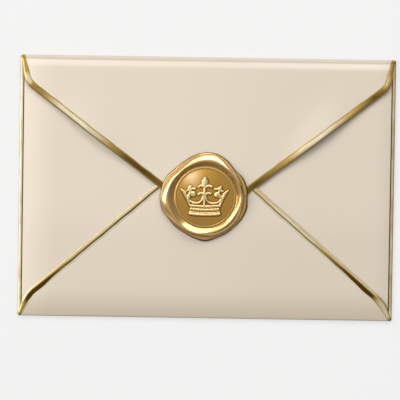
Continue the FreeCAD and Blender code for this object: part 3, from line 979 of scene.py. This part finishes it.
def disc_surface(x, y, radius, edge):
    """Height of the stamped disc over its edge (a dome, a thin ring and the crown), and the light painted on
    it: painted highlight above 0, painted shade below 0.
    """
    seal = settings("seal")
    dome = seal.dome * (1 - (radius / edge) ** 2)
    ring_gap = (radius - (edge - RING_INSET)) / RING_WIDTH
    ring = np.exp(-ring_gap ** 2)
    crown, crown_shade = crown_relief(x / MM, y / MM)
    groove_shade = np.exp(-((radius - edge + GROOVE_SHADE_INSET) / GROOVE_SHADE_WIDTH) ** 2)
    patch = np.hypot(x - HIGHLIGHT_PATCH[0] * MM, y - HIGHLIGHT_PATCH[1] * MM) / (HIGHLIGHT_PATCH[2] * MM)
    painted_highlight = 0.35 * np.exp(-patch ** 2)
    # Painted highlight on the crown's tops, the thin ring and one patch; painted shade round the crown and in
    # a ring near the edge
    rubbed = np.maximum(painted_highlight + 0.3 * ring, 0.9 * crown) - 0.7 * crown_shade * (crown < 0.05) - 0.3 * groove_shade
    return dome + RING_HEIGHT * ring + seal.relief * crown, rubbed


def shaded_edges(angle, ring):
    """Painted shade: how dark the wax is in the hollow at the rim's foot and along its outermost edge, where
    a contact shadow falls.
    """
    lip = round_curve(OUTLINE, angle) - round_curve(RIM_FOOT, angle)
    crease = 0.6 * np.exp(-((ring - 0.91) / 0.010) ** 2) * smooth_step(lip, 0.3, 0.9)
    start = 0.908 + 0.037 * smooth_step(lip, 0.35, 0.8)
    return np.maximum(crease, smooth_step(ring - start, 0, 0.018))


def wax_casting():
    """The seal: a profile spun into rings, then moved into the shape of the stamped wax."""
    seal = settings("seal")
    bm = bmesh.new()
    ring_layer = bm.verts.layers.float.new("ring")
    painted_light_layer = bm.verts.layers.float.new("rubbed")
    profile = []
    for index in range(SEAL_RINGS + UNDER_RINGS):
        vert = bm.verts.new((index * MM, 0, 0))
        vert[ring_layer] = index
        profile.append(vert)
    lines = [bm.edges.new(pair) for pair in zip(profile, profile[1:])]
    bmesh.ops.spin(bm, geom=profile + lines, cent=(0, 0, 0), axis=(0, 0, 1), dvec=(0, 0, 0),
                   angle=2 * math.pi, steps=SEAL_STEPS, use_merge=True)
    verts = list(bm.verts)
    flat = np.array([vert.co[:2] for vert in verts])
    index = np.array([vert[ring_layer] for vert in verts])
    angle = np.arctan2(flat[:, 1], flat[:, 0])
    upper = index < SEAL_RINGS
    ring = np.where(upper, index / (SEAL_RINGS - 1), 1)
    radius, height = seal_profile(angle, ring)
    shrink = np.where(upper, 1, 1 - (index - SEAL_RINGS + 1) / UNDER_RINGS)
    radius = radius * shrink
    x, y = radius * np.cos(angle), radius * np.sin(angle)
    on_disc = upper & (index <= DISC_RINGS)
    raised, rubbed = disc_surface(x, y, radius, disc_edge(angle))
    height = height + np.where(on_disc, raised, 0)
    # Painted highlight: the wall and the rim are paler than the disc
    painted_lighting = 0.2 * smooth_step(ring, 0.69, 0.72) + 0.15 * smooth_step(ring, 0.76, 0.80)
    shaded = shaded_edges(angle, ring)
    # Painted shade at the rim's foot and outer edge, taken off the painted highlight there
    rubbed = np.where(on_disc, rubbed, painted_lighting * (1 - shaded) - shaded)
    x, y = x + seal.centre_x, y + seal.centre_y
    bed = bed_height(x, y)
    level = settings("paper").top_level
    hang = smooth_step(ring, 0.9, 1.0)
    base = level * (1 - hang) + bed * hang
    height = np.where(upper, base + height, bed - 0.02 * MM)
    for vert, spot, share_painted_light in zip(verts, np.stack([x, y, height], axis=1), rubbed):
        vert.co = spot
        vert[painted_light_layer] = share_painted_light
    bmesh.ops.remove_doubles(bm, verts=bm.verts, dist=MERGE_DISTANCE)
    bmesh.ops.dissolve_degenerate(bm, dist=1e-8, edges=bm.edges)
    bmesh.ops.recalc_face_normals(bm, faces=bm.faces)
    return bm


class ENVELOPE_OT_seal(bpy.types.Operator):
    """Presses the wax seal with its rim, disc and crown"""
    bl_idname = "envelope.seal"
    bl_label = "Press the seal"

    def execute(self, context):
        finished("gold_wax_seal", wax_casting(), wax_finish(), ["wax_seal"], sharp_angle=75)
        return {"FINISHED"}


# Materials

class Line:
    """A shader socket that adds Math nodes when it is used in sums."""

    def __init__(self, maker, socket):
        self.maker = maker
        self.socket = socket

    def sum(self, operation, left, right):
        return self.maker.node("ShaderNodeMath", {"operation": operation}, {0: left, 1: right})

    def __add__(self, other):
        return self.sum("ADD", self, other)

    def __radd__(self, other):
        return self.sum("ADD", other, self)

    def __sub__(self, other):
        return self.sum("SUBTRACT", self, other)

    def __rsub__(self, other):
        return self.sum("SUBTRACT", other, self)

    def __mul__(self, other):
        return self.sum("MULTIPLY", self, other)

    def __rmul__(self, other):
        return self.sum("MULTIPLY", other, self)


class Finish:
    """Nodes for a material or for the world."""

    def __init__(self, owner, output="ShaderNodeOutputMaterial"):
        owner.use_nodes = True
        self.owner = owner
        self.tree = owner.node_tree
        self.tree.nodes.clear()
        self.output = self.tree.nodes.new(output)

    def node(self, kind, settings, sockets, result=0):
        """A node of a type, with its settings first and then its sockets' values or links."""
        made = self.tree.nodes.new(kind)
        for name, value in settings.items():
            if name == "stops":
                while len(made.color_ramp.elements) < len(value):
                    made.color_ramp.elements.new(0.5)
                for element, (place, shade) in zip(made.color_ramp.elements, value):
                    element.position = place
                    element.color = (*shade, 1)
            else:
                setattr(made, name, value)
        for name, value in sockets.items():
            if isinstance(value, Line):
                self.tree.links.new(value.socket, made.inputs[name])
            elif value is not None:
                made.inputs[name].default_value = value
        return Line(self, made.outputs[result])

    def noise(self, place, scale, detail, roughness=0.5):
        return self.node("ShaderNodeTexNoise", {}, {"Vector": place, "Scale": scale, "Detail": detail,
                                                    "Roughness": roughness}, "Fac")

    def place(self):
        return self.node("ShaderNodeTexCoord", {}, {}, "Object")

    def attribute(self, name):
        return self.node("ShaderNodeAttribute", {"attribute_name": name}, {}, "Fac")

    def axis(self, vector, name):
        return self.node("ShaderNodeSeparateXYZ", {}, {0: vector}, name)

    def smooth(self, value, low, high, start=0.0, end=1.0):
        """A smooth change from start to end while value goes from low to high."""
        return self.node("ShaderNodeMapRange", {"interpolation_type": "SMOOTHSTEP"},
                         {"Value": value, "From Min": low, "From Max": high, "To Min": start, "To Max": end})

    def blend(self, factor, first, second):
        """A colour between two colours."""
        return self.node("ShaderNodeMix", {"data_type": "RGBA"},
                         {"Factor": factor, 6: first if isinstance(first, Line) else (*first, 1),
                          7: second if isinstance(second, Line) else (*second, 1)}, 2)

    def bump(self, height, distance, strength=1.0):
        return self.node("ShaderNodeBump", {}, {"Height": height, "Distance": distance,
                                                "Strength": strength}, "Normal")

    def shader(self, **sockets):
        named = {name.replace("_", " "): value for name, value in sockets.items()}
        return self.node("ShaderNodeBsdfPrincipled", {}, named)

    def done(self, shader):
        self.tree.links.new(shader.socket, self.output.inputs["Surface"])
        return self.owner


def tinted(shade, tints):
    return tuple(min(1, value * tint) for value, tint in zip(shade, tints))


# Where painted shade and painted highlight change the paper's colour, in metres across or along the envelope,
# from the first place to the second
LEFT_PAINTED_SHADE = (-0.084, -0.062)
MIDDLE_PAINTED_SHADE = (-0.020, 0.050)
LOWER_PAINTED_SHADE = (-0.004, -0.030)
LOW_EDGE_SHADE = (-0.044, -0.0568)
FOLD_HIGHLIGHT = (0.0518, 0.0540)
TOP_EDGE_SHADE = (0.0548, 0.0556)


def paper_finish():
    """Smooth cream paper: fine fibre, faint clouds and a soft pearl sheen, with painted shade on the folds
    and towards the right and bottom, and a painted highlight below the top fold.
    """
    finish = Finish(bpy.data.materials.new("cream_paper"))
    cream = tuple(settings("paper").colour)
    place = finish.place()
    clouds = finish.noise(place, 45, 3)
    fibre = finish.noise(place, 2600, 4, 0.6)
    base = finish.blend(clouds * 0.7 + fibre * 0.3, tinted(cream, (0.97, 0.96, 0.94)),
                        tinted(cream, (1.02, 1.025, 1.03)))
    across, along = finish.axis(place, "X"), finish.axis(place, "Y")
    # Painted shade: darker from the left side towards the right and towards the bottom, away from the light
    painted_shade = finish.smooth(across, *LEFT_PAINTED_SHADE, 0, 0.6) + finish.smooth(across, *MIDDLE_PAINTED_SHADE, 0, 0.2)
    painted_shade = painted_shade + finish.smooth(along, *LOWER_PAINTED_SHADE, 0, 0.25)
    base = finish.blend(painted_shade, base, tinted(cream, (0.80, 0.785, 0.765)))
    # Painted shade: darker along the bottom fold, where the sheet curves away from the light
    low_edge_shade = finish.smooth(along, *LOW_EDGE_SHADE)
    base = finish.blend(low_edge_shade * 0.8, base, tinted(cream, (0.66, 0.625, 0.56)))
    # Painted highlight: a paler strip just below the top fold
    fold_highlight = finish.smooth(along, *FOLD_HIGHLIGHT)
    base = finish.blend(fold_highlight, base, tinted(cream, (1.02, 1.02, 1.03)))
    # Painted shade: a darker line on the rounded top fold
    top_edge = finish.smooth(along, *TOP_EDGE_SHADE)
    base = finish.blend(top_edge * 0.9, base, tinted(cream, (0.70, 0.69, 0.68)))
    # Painted shade: darker on the rounded folds
    painted_lighting = finish.attribute("crease") * 0.75
    base = finish.blend(painted_lighting, base, tinted(cream, (0.62, 0.60, 0.58)))
    return finish.done(finish.shader(
        Base_Color=base,
        Roughness=0.46 + 0.12 * fibre,
        Sheen_Weight=0.05,
        Sheen_Roughness=0.4,
        Specular_IOR_Level=0.4,
        Normal=finish.bump(fibre * 0.7 + clouds * 0.3, 0.012 * MM)))


def foil_finish():
    """Gold foil, pale where its painted light is 1 (painted highlight) and dark brown where it is 0 (painted
    shade).
    """
    name = "gold_foil"
    if name in bpy.data.materials:
        return bpy.data.materials[name]
    gold = settings("gold")
    finish = Finish(bpy.data.materials.new(name))
    place = finish.place()
    patches = finish.noise(place, 300, 3)
    grain = finish.noise(place, 1800, 3)
    # Painted highlight and painted shade from the points, made a little uneven
    tone = finish.attribute("tone") * (0.86 + 0.28 * patches)
    shades = [(0.0, tuple(gold.dark)), (0.5, tuple(gold.middle)), (0.95, tuple(gold.pale))]
    base = finish.node("ShaderNodeValToRGB", {"stops": shades}, {"Fac": tone}, "Color")
    return finish.done(finish.shader(
        Base_Color=base,
        Metallic=1.0,
        Roughness=0.22 + 0.14 * patches + 0.06 * grain,
        Normal=finish.bump(patches * 0.7 + grain * 0.3, 0.02 * MM)))


def wax_finish():
    """Satin gold wax with a slightly uneven, glossy skin, with painted highlight on the relief and painted
    shade in its hollows.
    """
    finish = Finish(bpy.data.materials.new("gold_wax"))
    seal = settings("seal")
    wax = tuple(seal.colour)
    place = finish.place()
    clouds = finish.noise(place, 130, 3)
    grain = finish.noise(place, 1500, 3)
    base = finish.blend(clouds, tinted(wax, (0.92, 0.82, 0.75)), tinted(wax, (1.1, 1.12, 1.2)))
    rubbed = finish.attribute("rubbed")
    # Painted highlight towards the pale colour where the value is above 0; painted shade towards dark brown
    # where it is below 0
    base = finish.blend(rubbed, base, tuple(seal.pale))
    base = finish.blend(rubbed * -1, base, tinted(wax, (0.13, 0.13, 0.3)))
    return finish.done(finish.shader(
        Base_Color=base,
        Metallic=1.0,
        Roughness=0.15 + 0.1 * clouds + 0.05 * grain,
        Coat_Weight=finish.smooth(rubbed, 0.05, 0.3, 0.5, 1.0) - finish.smooth(rubbed, -0.2, -0.5, 0, 0.5),
        Coat_IOR=2.0,
        Coat_Roughness=0.1,
        Normal=finish.bump(clouds * 0.8 + grain * 0.2, 0.03 * MM)))


def gum_finish():
    """Dried brown gum with fine cracks."""
    finish = Finish(bpy.data.materials.new("dried_gum"))
    cracks = finish.noise(finish.place(), 900, 4)
    base = finish.blend(cracks, (0.40, 0.31, 0.18), (0.62, 0.52, 0.36))
    return finish.done(finish.shader(Base_Color=base, Roughness=0.3 + 0.3 * cracks,
                                     Normal=finish.bump(cracks, 0.02 * MM)))


# The stage

CAMERA_DISTANCE = 4.0
CAMERA_LEAN = math.radians(7.606)       # the view comes from a little beyond the top fold
CAMERA_SWAY = math.radians(-0.138)
CAMERA_ROLL = math.radians(-0.902)
CAMERA_AIM = (2.812 * MM, 5.304 * MM)   # how far the middle of the envelope lies from the view's axis
CAMERA_LENS_RATIO = 23.095              # focal length as a multiple of the sensor's width
SENSOR_WIDTH = 36.0


def photo_camera():
    """A camera high above the envelope, at the angle from which the photograph was taken."""
    data = bpy.data.cameras.new("camera")
    data.sensor_width = SENSOR_WIDTH
    data.lens = CAMERA_LENS_RATIO * SENSOR_WIDTH
    data.clip_end = 100
    camera = bpy.data.objects.new("camera", data)
    bpy.context.collection.objects.link(camera)
    turn = (Matrix.Rotation(CAMERA_ROLL, 4, "Z") @ Matrix.Rotation(CAMERA_SWAY, 4, "Y")
            @ Matrix.Rotation(CAMERA_LEAN, 4, "X"))
    shift = Matrix.Translation((*CAMERA_AIM, -CAMERA_DISTANCE))
    camera.matrix_world = (shift @ turn).inverted()
    bpy.context.scene.camera = camera


FLOOR_OWN_LIGHT = 0.7                   # share of the floor's look that shadows don't reach
FLOOR_SIZE = 12
FLOOR_GAP = 0.05 * MM


def pale_floor(look):
    bm = bmesh.new()
    bmesh.ops.create_grid(bm, x_segments=1, y_segments=1, size=FLOOR_SIZE)
    bmesh.ops.translate(bm, verts=bm.verts, vec=(0, 0, -FLOOR_GAP))
    mesh = bpy.data.meshes.new("floor")
    bm.to_mesh(mesh)
    bm.free()
    floor = bpy.data.objects.new("floor", mesh)
    bpy.context.collection.objects.link(floor)
    finish = Finish(bpy.data.materials.new("pale_floor"))
    shade = (*look.floor_colour, 1)
    plain = finish.shader(Base_Color=shade, Roughness=0.9, Specular_IOR_Level=0.1)
    glow = finish.node("ShaderNodeEmission", {}, {"Color": shade, "Strength": 1.0})
    seen = finish.node("ShaderNodeLightPath", {}, {}, "Is Camera Ray")
    seen = seen + finish.node("ShaderNodeLightPath", {}, {}, "Is Glossy Ray")
    seen = seen + finish.node("ShaderNodeLightPath", {}, {}, "Is Transmission Ray")
    mixed = finish.node("ShaderNodeMixShader", {}, {0: seen * FLOOR_OWN_LIGHT, 1: plain, 2: glow})
    mesh.materials.append(finish.done(mixed))


# Each soft box: the side it stands on, its height over the floor, its width and height, its power
SOFT_BOXES = {
    "left": (math.radians(165), math.radians(31), (2.6, 1.3), 60),
    "between": (math.radians(120), math.radians(31), (1.3, 1.1), 11),
    "top": (math.radians(76), math.radians(32), (2.6, 1.1), 42),
}
BOX_DISTANCE = 2.8


def soft_boxes(look):
    """Large soft boxes from beyond the left side round to beyond the top fold."""
    for name, (turn, height, size, power) in SOFT_BOXES.items():
        data = bpy.data.lights.new(name, "AREA")
        data.shape = "RECTANGLE"
        data.size, data.size_y = size
        data.energy = power * look.box_power
        data.color = (1, 0.985, 0.96)
        lamp = bpy.data.objects.new(name, data)
        bpy.context.collection.objects.link(lamp)
        flat = BOX_DISTANCE * math.cos(height)
        place = Vector((flat * math.cos(turn), flat * math.sin(turn), BOX_DISTANCE * math.sin(height)))
        lamp.rotation_euler = (-place).to_track_quat("-Z", "Y").to_euler()
        lamp.location = place


SKY_TOWARD = (-0.45, 0.89, 0)           # the side from which more of the soft light comes
SKY_LEAN = 0.45                         # how much more, as a share of the light from above
GLOW_TOWARD = (-0.118, 0.075, 0.990)    # the small bright patch nearly overhead
GLOW_EDGE, GLOW_CORE = 0.9935, 0.9990   # cosines of the angles from its middle


def sky(look):
    """Soft light from above that falls off towards the sides, with one small bright patch."""
    world = bpy.data.worlds.new("studio")
    bpy.context.scene.world = world
    finish = Finish(world, "ShaderNodeOutputWorld")
    direction = finish.node("ShaderNodeTexCoord", {}, {}, "Generated")
    overhead = finish.smooth(finish.axis(direction, "Z"), 0.5, 0.96, look.sky_side, look.sky_top)
    lean = finish.node("ShaderNodeVectorMath", {"operation": "DOT_PRODUCT"},
                       {0: direction, 1: SKY_TOWARD}, "Value")
    nearness = finish.node("ShaderNodeVectorMath", {"operation": "DOT_PRODUCT"},
                           {0: direction, 1: GLOW_TOWARD}, "Value")
    glow = finish.smooth(nearness, GLOW_EDGE, GLOW_CORE, 0, look.glow)
    strength = overhead * (1 + SKY_LEAN * lean) + glow
    light = finish.node("ShaderNodeBackground", {}, {"Color": (1, 0.985, 0.955, 1), "Strength": strength})
    finish.done(light)


class ENVELOPE_OT_stage(bpy.types.Operator):
    """Sets the floor, the soft light and the camera"""
    bl_idname = "envelope.stage"
    bl_label = "Set the stage"

    def execute(self, context):
        look = settings("stage")
        pale_floor(look)
        sky(look)
        soft_boxes(look)
        photo_camera()
        context.scene.view_settings.view_transform = "Standard"
        return {"FINISHED"}


class ENVELOPE_PT_panel(bpy.types.Panel):
    """The steps of making the envelope, in order"""
    bl_idname = "ENVELOPE_PT_panel"
    bl_label = "Sealed envelope"
    bl_space_type = "VIEW_3D"
    bl_region_type = "UI"
    bl_category = "Envelope"

    def draw(self, context):
        for step in STEPS:
            self.layout.operator(step.bl_idname)


STEPS = (ENVELOPE_OT_paper, ENVELOPE_OT_flap_gold, ENVELOPE_OT_fold_gold, ENVELOPE_OT_gum,
         ENVELOPE_OT_seal, ENVELOPE_OT_stage)
GROUPS = {"envelope_paper": EnvelopePaper, "envelope_flaps": EnvelopeFlaps, "envelope_gold": EnvelopeGold,
          "envelope_seal": EnvelopeSeal, "envelope_stage": EnvelopeStage}


def register():
    for name, group in GROUPS.items():
        bpy.utils.register_class(group)
        setattr(bpy.types.Scene, name, bpy.props.PointerProperty(type=group))
    for step in STEPS:
        bpy.utils.register_class(step)
    bpy.utils.register_class(ENVELOPE_PT_panel)


def unregister():
    bpy.utils.unregister_class(ENVELOPE_PT_panel)
    for step in reversed(STEPS):
        bpy.utils.unregister_class(step)
    for name, group in GROUPS.items():
        delattr(bpy.types.Scene, name)
        bpy.utils.unregister_class(group)


def main():
    register()
    bpy.ops.envelope.paper()
    bpy.ops.envelope.flap_gold()
    bpy.ops.envelope.fold_gold()
    bpy.ops.envelope.gum()
    bpy.ops.envelope.seal()
    bpy.ops.envelope.stage()


if __name__ == "__main__":
    main()
